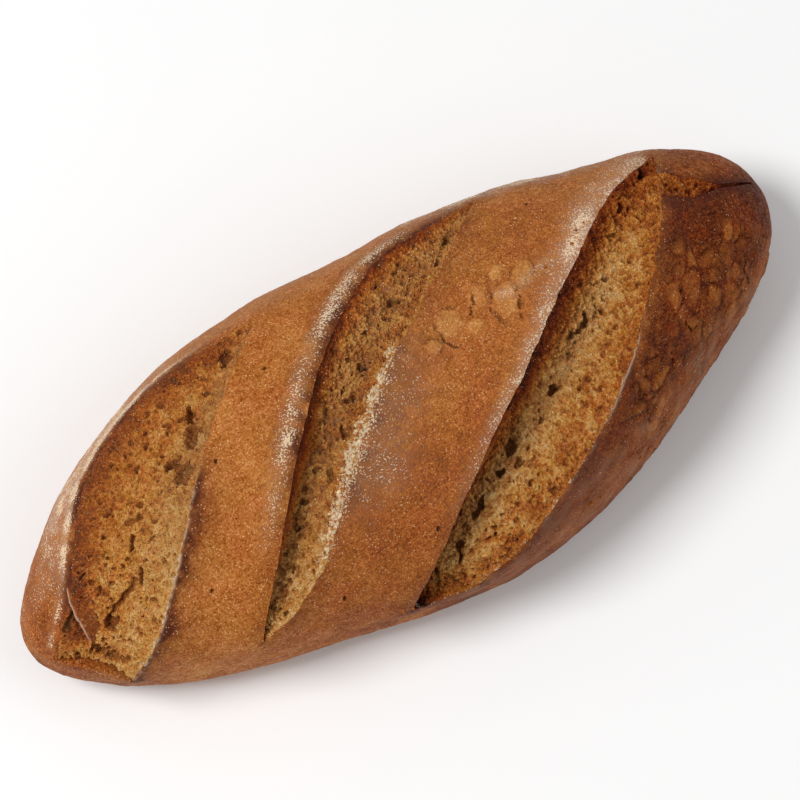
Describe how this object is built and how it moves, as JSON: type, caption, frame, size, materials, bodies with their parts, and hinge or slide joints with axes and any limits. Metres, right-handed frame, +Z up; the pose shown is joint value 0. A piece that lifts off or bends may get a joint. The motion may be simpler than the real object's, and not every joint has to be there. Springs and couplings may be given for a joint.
{
  "type": "hearth loaf",
  "caption": "Long oval hearth loaf with slanting slashes across the top and a flat base, baked brown and dusted with flour.",
  "frame": {"origin": "on the flat base, under the middle of the loaf's length, at the height of the surface it rests on", "axes": "+X along the loaf towards the end with the short tear, +Y towards the side where the slashes start, +Z up out of the slashed top"},
  "size_m": [0.2901, 0.1217, 0.0789],
  "materials": {
    "crust": "matt brown crust with a little flour"
  },
  "bodies": {
    "root": {"loaf": "crust"}
  },
  "joints": []
}
